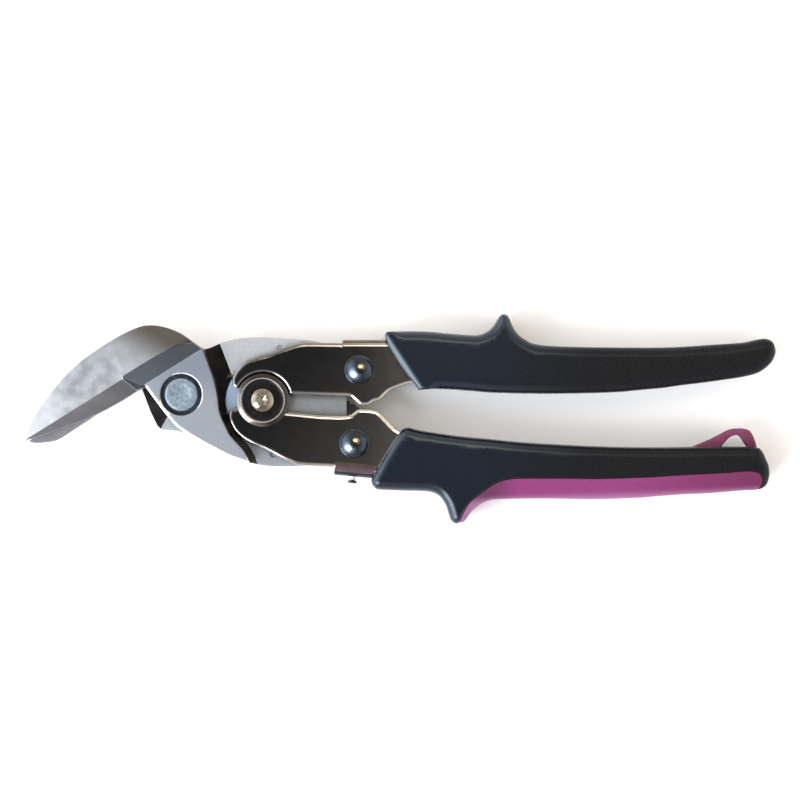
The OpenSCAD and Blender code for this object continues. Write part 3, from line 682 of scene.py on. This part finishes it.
M = {
    "blade": finish("blasted_steel", (0.2, 0.225, 0.26), (0.23, 0.255, 0.29), 1500, 0.25, 0.5, 0.05,
                    0.08, 3000, fades=((0.2, 0.98, -10, 4, (0.145, 0.17, 0.21), 0.9),)),
    # painted highlight for the rounded boss edges that face the window lamp
    "edge": finish("painted_highlight_edge", (0.7, 0.72, 0.74), (0.82, 0.84, 0.86), 900, 0.15, 0.35, 0.05, 0.04, 2000),
    "jaw": finish("ground_jaw_steel", (0.24, 0.26, 0.29), (0.36, 0.385, 0.415), 260, 0.3, 0.42, 0.05,
                  0.05, 1500, detail=8, fades=(
                      (0.5, 0.86, -32, -16, (0.07, 0.059, 0.047), 1.0),
                      (-0.94, -0.34, 103, 118, (0.56, 0.59, 0.64), 0.8))),
    "bevel": finish("ground_bevel", (0.105, 0.107, 0.119), (0.13, 0.132, 0.145), 300, 0.4, 0.4, 0.05,
                    0.04, 900, stretch=(-24, 0.3, 1, 1), fades=((0.9, 0.44, -93, -80, (0.088, 0.092, 0.1), 0.8),)),
    # the boss's slope is painted darker than the blade steel as shade, darkest towards its upper right end
    "slope": finish("shaded_slope_steel", (0.042, 0.053, 0.068), (0.052, 0.063, 0.079), 700, 0.3, 0.5, 0.05,
                    0.06, 1800, spec=0.35, fades=((0.86, 0.5, -72, -52, (0.022, 0.024, 0.032), 0.8),)),
    "facet": finish("shaded_facet", (0.018, 0.02, 0.0235), (0.024, 0.026, 0.03), 700, 0.2, 0.6, 0.05,
                    0.06, 1800, spec=0.15),
    # painted shade for the groove and rear wall at the foot of the boss
    "groove_shade": finish("painted_shade_groove_steel", (0.015, 0.014, 0.0145), (0.045, 0.039, 0.036), 300, 0.1, 0.55, 0.06,
                    0.08, 1500, spec=0.15),
    "shade": finish("shaded_under_steel", (0.006, 0.0058, 0.007), (0.018, 0.0165, 0.0155), 300, 0.1, 0.55,
                    0.06, 0.08, 1500, spec=0.12),
    "low": finish("lower_blade_steel", (0.315, 0.335, 0.36), (0.36, 0.38, 0.405), 900, 0.3, 0.5, 0.05,
                  0.06, 2200),
    "lowjaw": finish("lower_jaw_steel", (0.17, 0.168, 0.19), (0.2, 0.198, 0.22), 400, 0.3, 0.45,
                     0.05, 0.05, 1500),
    # the plates are painted warmer and lighter towards the grips as a painted reflection
    "nickel": finish("bright_nickel", (0.2, 0.198, 0.2), (0.23, 0.226, 0.226), 300, 1, 0.115, 0.006,
                     0.01, 900, fades=((0.8, -0.6, -44, 8, (0.75, 0.7, 0.62), 0.95),),
                     rfade=(1, 0, -14, -3, 0.05)),
    "web": finish("shaded_web_nickel", (0.1, 0.079, 0.056), (0.125, 0.102, 0.07), 300, 1, 0.2, 0.03,
                  0.02, 900),
    # painted reflections across the lower web's bend: a dark band underneath, a brown band in the middle and a dark
    # brown band at the top
    "weblow": finish("web_nickel_painted_dark", (0.013, 0.02, 0.028), (0.0165, 0.025, 0.035), 300, 1, 0.2, 0.03,
                     0.02, 900),
    "webband": finish("brown_bend_nickel", (0.16, 0.12, 0.128), (0.2, 0.152, 0.16), 300, 1, 0.2, 0.03,
                      0.02, 900),
    "bandtop": finish("brown_bend_shoulder", (0.05, 0.033, 0.033), (0.07, 0.047, 0.046), 300, 0.3, 0.4, 0.04,
                      0.02, 900, spec=0.3),
    "disc": finish("hub_disc_steel", (0.31, 0.415, 0.59), (0.335, 0.445, 0.62), 800, 0.3, 0.45, 0.05,
                   0.04, 2000),
    # the tongue is painted darker towards its top edge as the shadow of the upper plate
    "slot": finish("slot_tongue_steel", (0.155, 0.168, 0.176), (0.18, 0.193, 0.2), 500, 0.3, 0.45, 0.05,
                   0.04, 2000, fades=((0, 1, 5.8, 8.2, (0.075, 0.08, 0.086), 0.9),)),
    # the dark rim is painted lighter on its lower-left side as a painted highlight
    "rim": finish("dished_rim", (0.035, 0.034, 0.032), (0.05, 0.048, 0.045), 800, 1, 0.2, 0.03, 0.02, 1500,
                  fades=((-0.79, -0.61, 36, 40, (0.16, 0.155, 0.147), 1.0),)),
    # painted highlight for the hub washers' crest
    "crest": finish("washer_crest_painted_highlight", (0.29, 0.27, 0.255), (0.36, 0.34, 0.32), 800, 0.3, 0.4, 0.05, 0.03, 1500),
    "rivet": finish("dark_polished_rivet", (0.03, 0.038, 0.049), (0.042, 0.051, 0.064), 500, 1, 0.17, 0.02,
                    0.012, 900),
    "screw": finish("warm_screw", (0.15, 0.13, 0.107), (0.24, 0.21, 0.173), 900, 1, 0.17, 0.04, 0.04, 1500),
    "bolt": finish("turned_bolt", (0.12, 0.17, 0.22), (0.24, 0.3, 0.35), 900, 0.3, 0.42, 0.06, 0.16, 1300),
    "black": finish("blackened_steel", (0.005, 0.0048, 0.005), (0.011, 0.0102, 0.01), 700, 0.3, 0.4,
                    0.06, 0.05, 1800, spec=0.2),
    "blue_black": finish("blued_washer", (0.024, 0.037, 0.058), (0.045, 0.066, 0.096), 700, 0.3, 0.4,
                         0.06, 0.05, 1800, spec=0.3),
    # the web stud's stem is painted near white as painted light, darker towards its end
    "stud": finish("stud_painted_light_stem", (0.9, 0.9, 0.905), (0.94, 0.94, 0.945), 900, 0.0, 0.4, 0.05, 0.04, 1800,
                   fades=((0, -1, 21.1, 21.3, (0.012, 0.012, 0.013), 1.0),)),
    "wire": finish("spring_wire", (0.3, 0.3, 0.31), (0.36, 0.36, 0.37), 900, 1, 0.3, 0.05, 0.05, 1800),
    # the grips are painted bluer towards the front as a painted reflection
    "grip": finish("black_grip", (0.0098, 0.0099, 0.0107), (0.0112, 0.0113, 0.0122), 1200, 0, 0.27, 0.012,
                   0.007, 2400, spec=0.58, glint=(0.7, 0.85, 1.0), sfade=(1, 0, 20, 70, 0.11),
                   fades=((-1, 0, -75, -15, (0.0048, 0.0075, 0.0138), 0.9),)),
    # the inlay is painted darker towards its front end as shade and lighter along its lower edge as a painted
    # highlight; it is also darker towards its back end
    "magenta": finish("magenta_inlay", (0.178, 0.025, 0.117), (0.2, 0.029, 0.132), 900, 0, 0.5, 0.05,
                      0.06, 2600, spec=0.35, fades=(
                          (-1, 0, -43, -30, (0.07, 0.014, 0.046), 0.85),
                          (1, 0, 70, 130, (0.1, 0.011, 0.052), 0.85),
                          (0.038, -1, 27.2, 30.8, (0.3, 0.13, 0.255), 0.75, 0.3))),
    # the latch is painted darker towards its right end as shade
    "loop": finish("magenta_latch", (0.15, 0.034, 0.078), (0.19, 0.044, 0.1), 900, 0, 0.4, 0.05,
                   0.05, 1800, spec=0.3, fades=((0.86, -0.5, 103, 112, (0.11, 0.02, 0.05), 0.8),)),
}


for key, at, top in (("rivet_a", A, 8.1), ("rivet_b", B, 8.25)):
    # painted highlights on the riveted heads, front and back: a blue-white glint towards the lower left and a straw
    # glint towards the upper right
    painted_glints = []
    for z in (top, -top):
        painted_glints += [(at[0] - 1.6, at[1] - 1.5, z * 0.97, 0.6, 2.9, (0.27, 0.36, 0.44), 0.95),
                  (at[0] + 0.6, at[1] + 0.9, z, 0.3, 1.7, (0.6, 0.42, 0.27), 0.95)]
    M[key] = finish("painted_glint_" + key, (0.03, 0.038, 0.049), (0.042, 0.051, 0.064), 500, 1, 0.17, 0.02,
                    0.012, 900, spots=painted_glints)


def put(ob, body, slot, mat, *nodes):
    if not ob.data.materials:
        ob.data.materials.append(M[mat])
    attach(ob, body)
    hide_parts(*nodes)
    return ob


def faces_of(ob):
    me = ob.data
    n = len(me.polygons)
    c, v = np.zeros(n * 3), np.zeros(n * 3)
    me.polygons.foreach_get("center", c)
    me.polygons.foreach_get("normal", v)
    return c.reshape(-1, 3) * 1000 - [0, 0, ZC], v.reshape(-1, 3)


def zones(ob, names, idx):
    for k in names:
        ob.data.materials.append(M[k])
    ob.data.polygons.foreach_set("material_index", idx.astype(np.int32))
    ob.data.update()


def off_line(c, at, deg):
    s, k = math.sin(math.radians(deg)), math.cos(math.radians(deg))
    return -(c[:, 0] - at[0]) * s + (c[:, 1] - at[1]) * k


ub = make_upper_blade()
c, v = faces_of(ub)
idx = np.zeros(len(c), int)
side = off_line(c, (-129.6, -7), 32)
left = c[:, 0] < -67
jaw = (v[:, 2] > 0.5) & (c[:, 2] < 3.4) & (c[:, 2] > 0.6) & left
idx[jaw] = 1
idx[jaw & (side < 0) & (c[:, 0] < -88)] = 2
# the long slope of the boss and its short end facet, both painted darker than the blade steel as shade
steep = (c[:, 2] > 3.25) & (c[:, 2] < 7.85)
uphill = -v[:, 0] * math.sin(math.radians(32)) + v[:, 1] * math.cos(math.radians(32))
endward = -(v[:, 0] * 0.656 + v[:, 1] * 0.755)
slope = steep & (off_line(c, (-79, 17.5), 32) > 0) & (v[:, 2] > 0.2) & left & (uphill > endward)
idx[slope] = 3
short = off_line(c, (-88.1, 11), 49) > -0.3
end = steep & (c[:, 0] < -84.5) & ~slope & (off_line(c, (-91.6, 10), -41) < 3.4) & short
idx[end] = 4
# painted highlights on the rounded edges below the bolt and on the faces of the recess rim turned towards the lower
# left
out = np.hypot(c[:, 0] - P[0], c[:, 1] - P[1])
rim_low = (off_curve(c, head_low) < 1.6) & (c[:, 2] > 6.8) & (v[:, 2] < 0.97) & (v[:, 2] > 0.6)
idx[rim_low & ~short & (c[:, 0] < -52) & (idx == 0)] = 6
facing = v[:, 0] * 0.8 + v[:, 1] * 0.6 < -0.15
idx[(out > 6.9) & (out < 8.1) & (c[:, 2] > 7.2) & (v[:, 2] < 0.97) & (v[:, 2] > 0.1) & facing] = 6
# painted shade in the groove along the foot of the boss beside the hub and on the boss's rear wall
near = off_curve(c, head_rear)
outside = (np.abs(v[:, 2]) < 0.6) & (v[:, 0] * 0.3 + v[:, 1] * 0.95 < -0.5)
idx[(near < 2.1) & (c[:, 2] < 2.7) & (c[:, 2] > 0) & (c[:, 0] > -64) & (v[:, 2] > -0.5) & ~outside] = 5
idx[(near < 0.9) & (c[:, 2] < 7.4) & (c[:, 2] > 1.9) & (v[:, 0] > 0.25)] = 5
zones(ub, ("blade", "jaw", "bevel", "slope", "facet", "groove_shade", "edge"), idx)
put(ub, "upper_blade_body", "blade_steel", "blade", "upper_blade")

lb = make_lower_blade()
c, v = faces_of(lb)
idx = np.zeros(len(c), int)
head = (c[:, 0] < -57) & (c[:, 2] < 0.3)
idx[head] = 2
idx[head & (c[:, 0] < -91.5) & (c[:, 2] > -4.2)] = 1
idx[head & (c[:, 1] < 2) & (off_line(c, (-83.4, -3.6), 62) < 0)] = 0
idx[head & (c[:, 0] > -70)] = 2
idx[(idx == 2) & (v[:, 2] < 0.2)] = 0
zones(lb, ("low", "lowjaw", "shade"), idx)
put(lb, "lower_blade_body", "blade_steel", "low", "lower_blade")

ul = make_upper_lever()
c, v = faces_of(ul)
idx = np.zeros(len(c), int)
idx[np.abs(c[:, 2]) < 3.2] = 1
idx[(c[:, 1] > 20) | (c[:, 0] > -18)] = 0
idx[(idx == 1) & (c[:, 0] > -40)] = 3
idx[(idx == 1) & (c[:, 0] > -55.4)] = 4
idx[(c[:, 1] > 26) & (v[:, 1] > 0.5) & (c[:, 0] > -20.2)] = 2
zones(ul, ("nickel", "disc", "web", "slot", "shade"), idx)
put(ul, "upper_handle", "nickel_plate", "nickel", "upper_lever")
ll = make_lower_lever()
c, v = faces_of(ll)
off = off_line(c, (-22.8, -16.6), -5.4)
bent = (off < 1.85) & (off_line(c, (-22.6, -16.6), 84.6) < 0) & (c[:, 0] < 11.5)
# the bend takes painted reflection bands across it: dark underneath, brown in the middle, dark brown at the top
idx = np.where(bent, np.where(off < -1.5, 1, np.where(off < 0.3, 2, 3)), 0)
zones(ll, ("nickel", "weblow", "webband", "bandtop"), idx)
put(ll, "lower_handle", "nickel_plate", "nickel", "lower_lever")
put(make_upper_grip(), "upper_handle", "grip_black", "grip", "upper_grip")
lg, li = lower_grip_parts()
put(lg, "lower_handle", "grip_black", "grip", "lower_grip")
put(li, "lower_handle", "grip_magenta", "magenta", "lower_grip_inlay")
put(make_latch(), "latch_body", "latch_magenta", "loop", "locking_latch")

# turned pieces
bolt = lathe("pivot_bolt_turned", P, [
    (0, 7.62), (3.3, 7.62), (3.5, 7.7), (4.2, 7.76), (5.0, 7.74), (5.35, 7.62), (5.6, 7.35),
    (5.7, 7.1), (5.7, 6.0), (4.0, 6.0), (4.0, -8.1), (3.7, -8.4), (0, -8.4)])
put(bolt, "upper_blade_body", "bolt_steel", "bolt", "pivot_bolt")
ring = lathe("pivot_ring_washer", P, [
    (4.06, 5.25), (7.1, 5.25), (7.1, 5.8), (6.95, 5.95), (4.2, 5.95), (4.06, 5.8), (4.06, 5.25)])
put(ring, "upper_blade_body", "black_steel", "blue_black", "pivot_washer")


def rivet(name, at, z):
    head = [(6.2 * math.sin(math.radians(a)), z - 3.9 + 6.2 * math.cos(math.radians(a)))
            for a in (0, 5, 10, 15, 20, 25, 30, 35, 40, 44, 47)] + [(4.6, z + 0.1), (4.5, z)]
    prof = head + [(3.0, z), (3.0, -z)] + [(r, -h) for r, h in head[::-1]]
    return lathe(name, at, prof)


def rivet_ring(name, at, z):
    prof = [(3.06, z), (5.2, z), (5.2, z + 0.3), (5.0, z + 0.5), (4.7, z + 0.6), (3.2, z + 0.6),
            (3.06, z + 0.5), (3.06, z)]
    a = lathe(name, at, prof)
    b = lathe(name + "_back", at, [(r, -h) for r, h in prof])
    return a, b


put(rivet("upper_rivet_turned", A, 5.85), "upper_handle", "rivet_steel", "rivet_a", "upper_drive_rivet")
put(rivet("lower_rivet_turned", B, 6.0), "lower_handle", "rivet_steel", "rivet_b", "lower_drive_rivet")
for nm, at, z, body, node in (
    ("upper_rivet_ring", A, 5.12, "upper_handle", "upper_rivet_washers"),
    ("lower_rivet_ring", B, 5.27, "lower_handle", "lower_rivet_washers"),
):
    for ob in rivet_ring(nm, at, z):
        put(ob, body, "rivet_steel", "rivet", node)

hz = 5.3
wash = [(3.56, hz), (9.0, hz), (9.15, hz + 0.1), (9.15, hz + 0.24), (9.0, hz + 0.36), (8.2, hz + 0.74),
        (7.75, hz + 0.94), (7.6, hz + 0.98), (7.45, hz + 0.94), (7.1, hz + 0.72), (6.8, hz + 0.46),
        (6.5, hz + 0.4), (5.3, hz + 0.5), (5.1, hz + 0.75), (4.9, hz + 0.95), (3.56, hz + 0.95), (3.56, hz)]
for nm, sgn, node in (("hub_washer_front_dished", 1, "hub_washer_front"),
                      ("hub_washer_back_dished", -1, "hub_washer_back")):
    ob = lathe(nm, F, [(r, sgn * z) for r, z in wash], 96)
    c, v = faces_of(ob)
    far = np.hypot(c[:, 0] - F[0], c[:, 1] - F[1])
    kind = (far > 6.95).astype(int)
    # a thin ring of painted highlight on the crest
    kind[(far > 7.38) & (far < 7.8) & (v[:, 2] * sgn > 0.8)] = 2
    zones(ob, ("black", "rim", "crest"), kind)
    put(ob, "lower_handle", "black_steel", "black", node)


def make_hub_screw():
    g = Field((F[0] - 4.7, F[1] - 4.7, -4.6), (F[0] + 4.7, F[1] + 4.7, 9.0),
              0.14)
    d = np.sqrt((g.x3 - F[0]) ** 2 + (g.y3 - F[1]) ** 2 + (g.z3 - 2.3) ** 2) - 6.2
    f = meet(g.slab(g.disc(F, 4.2), 6.45, 9.5, 0.2), d, 0.4)
    ang = np.arctan2(g.Y - F[1], g.X - F[0])[:, :, None]
    star = g.disc(F, 0) - (1.75 + 0.28 * np.cos(6 * ang))
    f = cut(f, np.maximum(star, 7.1 + 0.45 * g.disc(F, 0) - g.z3), 0.15)
    f = join(f, g.slab(g.disc(F, 2), -4, 6.7, 0.2), 0.2)
    return solid("hub_screw_domed", g, f)


put(make_hub_screw(), "lower_handle", "screw_plate", "screw", "hub_screw")



def tube(name, pts, r, n=14):
    """Round wire along the points, with closed ends."""
    p = np.array(pts, float)
    verts, faces = [], []
    ahead = np.gradient(p, axis=0)
    ahead /= np.linalg.norm(ahead, axis=1)[:, None]
    u = np.cross(ahead[0], (0, 1, 0))
    for i, q in enumerate(p):
        u = u - (u @ ahead[i]) * ahead[i]
        u /= np.linalg.norm(u)
        w = np.cross(ahead[i], u)
        for k in range(n):
            a = 2 * math.pi * k / n
            verts.append(tuple((q + r * (math.cos(a) * u + math.sin(a) * w) + [0, 0, ZC]) * 0.001))
    m = len(p)
    for i in range(m - 1):
        for k in range(n):
            a, b = i * n + k, i * n + (k + 1) % n
            faces.append((a, b, b + n, a + n))
    faces.append(tuple(range(n - 1, -1, -1)))
    faces.append(tuple(range((m - 1) * n, m * n)))
    me = bpy.data.meshes.new(name)
    me.from_pydata(verts, [], faces)
    me.polygons.foreach_set("use_smooth", np.ones(len(me.polygons), bool))
    me.set_sharp_from_angle(angle=math.radians(50))
    ob = bpy.data.objects.new(name, me)
    scene.collection.objects.link(ob)
    return ob


def bend(a, b, c, r=1.2, n=5):
    """Rounded corner at b between a and c."""
    a, b, c = (np.array(q, float) for q in (a, b, c))
    s, e = b + (a - b) / np.linalg.norm(a - b) * r, b + (c - b) / np.linalg.norm(c - b) * r
    return [tuple((1 - t) ** 2 * s + 2 * t * (1 - t) * b + t * t * e) for t in np.linspace(0, 1, n)]


low_end, up_end = (-26, -0.1), (-25, 9.8)
coil = [(*polar(F, 5.4, a), 0) for a in range(260, 91, -8)]
path = ([(*low_end, -4.4)] + bend((*low_end, -4.4), (*low_end, 0), coil[0])
        + coil + bend(coil[-1], (*up_end, 0), (*up_end, -4.4)) + [(*up_end, -4.4)])
spring = tube("hairpin_spring_wire", path, 0.7)
spring.data.materials.append(M["wire"])
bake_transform(spring)
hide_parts("opening_spring")

# pieces shown as built
for node, mat in (
    ("pivot_nut", "wire"), ("hub_sleeve", "wire"), ("web_stud", "stud"), ("latch_pin", "wire"),
):
    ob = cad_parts[node]
    ob.data.materials.clear()
    ob.data.materials.append(M[mat])

# ------------------------------------------------------------------ floor, light, camera
me = bpy.data.meshes.new("floor")
me.from_pydata([(-3, -3, -0.0004), (3, -3, -0.0004), (3, 3, -0.0004), (-3, 3, -0.0004)], [], [(0, 1, 2, 3)])
floor = bpy.data.objects.new("floor", me)
scene.collection.objects.link(floor)
fm = bpy.data.materials.new("pale_floor")
fm.use_nodes = True
fm.node_tree.nodes["Principled BSDF"].inputs["Base Color"].default_value = (0.97, 0.97, 0.97, 1)
fm.node_tree.nodes["Principled BSDF"].inputs["Roughness"].default_value = 0.9
fm.node_tree.nodes["Principled BSDF"].inputs["Specular IOR Level"].default_value = 0.1
me.materials.append(fm)

# studio surroundings: dark overhead, bright round the sides, cool on the left, warm behind
world = scene.world or bpy.data.worlds.new("studio")
scene.world = world
world.use_nodes = True
t = world.node_tree
t.nodes.clear()
co = t.nodes.new("ShaderNodeTexCoord")
sep = t.nodes.new("ShaderNodeSeparateXYZ")
ramp = t.nodes.new("ShaderNodeValToRGB")
bg = t.nodes.new("ShaderNodeBackground")
out = t.nodes.new("ShaderNodeOutputWorld")
link(t, co.outputs["Generated"], sep.inputs["Vector"])
link(t, sep.outputs["Z"], ramp.inputs["Fac"])
e = ramp.color_ramp.elements
e[0].position, e[0].color = 0.0, (1.0, 1.0, 1.0, 1)
e[1].position, e[1].color = 0.985, (0.0208, 0.0208, 0.0215, 1)
for pos, val in ((0.5, 0.9), (0.8, 0.36), (0.94, 0.046)):
    k = ramp.color_ramp.elements.new(pos)
    k.color = (val, val * 0.98, val * 0.96, 1)
col = ramp.outputs["Color"]
for axis, sign, s, e_, tone in (
    ("Y", -1, 0.3, 0.85, (0.35, 0.31, 0.31)),
    ("Y", 1, 0.3, 0.85, (0.5, 0.455, 0.4)),
    ("X", -1, 0.3, 0.85, (1.4, 1.5, 1.65)),
    ("X", 1, 0.3, 0.85, (0.85, 0.84, 0.82)),
):
    mr = t.nodes.new("ShaderNodeMapRange")
    mr.interpolation_type = "SMOOTHSTEP"
    mr.inputs["From Min"].default_value = sign * s
    mr.inputs["From Max"].default_value = sign * e_
    link(t, sep.outputs[axis], mr.inputs["Value"])
    mx = t.nodes.new("ShaderNodeMix")
    mx.data_type = "RGBA"
    mx.blend_type = "MULTIPLY"
    mx.clamp_result = False
    mx.inputs[7].default_value = (*tone, 1)
    link(t, mr.outputs["Result"], mx.inputs[0])
    link(t, col, mx.inputs[6])
    col = mx.outputs[2]
link(t, col, bg.inputs["Color"])
bg.inputs["Strength"].default_value = 3.0
link(t, bg.outputs["Background"], out.inputs["Surface"])


def lamp(name, way, dist, size, power, color=(1, 1, 1)):
    d = bpy.data.lights.new(name, "AREA")
    d.shape = "RECTANGLE"
    d.size, d.size_y = size
    d.energy = power
    d.color = color
    ob = bpy.data.objects.new(name, d)
    way = Vector(way).normalized()
    ob.location = way * dist
    ob.rotation_euler = (-way).to_track_quat("-Z", "Y").to_euler()
    scene.collection.objects.link(ob)
    return ob


lamp("window", (-0.62, -0.47, 0.65), 1.1, (0.54, 0.6), 10.5, (0.93, 0.97, 1))
lamp("key", (0.06, 0.38, 0.92), 1.1, (0.5, 0.34), 2.1, (1, 0.86, 0.7))

cam = bpy.data.cameras.new("camera")
cam.sensor_width = 36
cam.lens = 105
cam_ob = bpy.data.objects.new("camera", cam)
dist = 0.2788 / 36 * 105 + 0.0088
cam_ob.location = (0, 0.00653, dist)
cam_ob.rotation_euler = (0, 0, 0)
scene.collection.objects.link(cam_ob)
scene.camera = cam_ob
scene.view_settings.view_transform = "Standard"
scene.view_settings.look = "None"
scene.view_settings.exposure = 0
scene.view_settings.gamma = 1
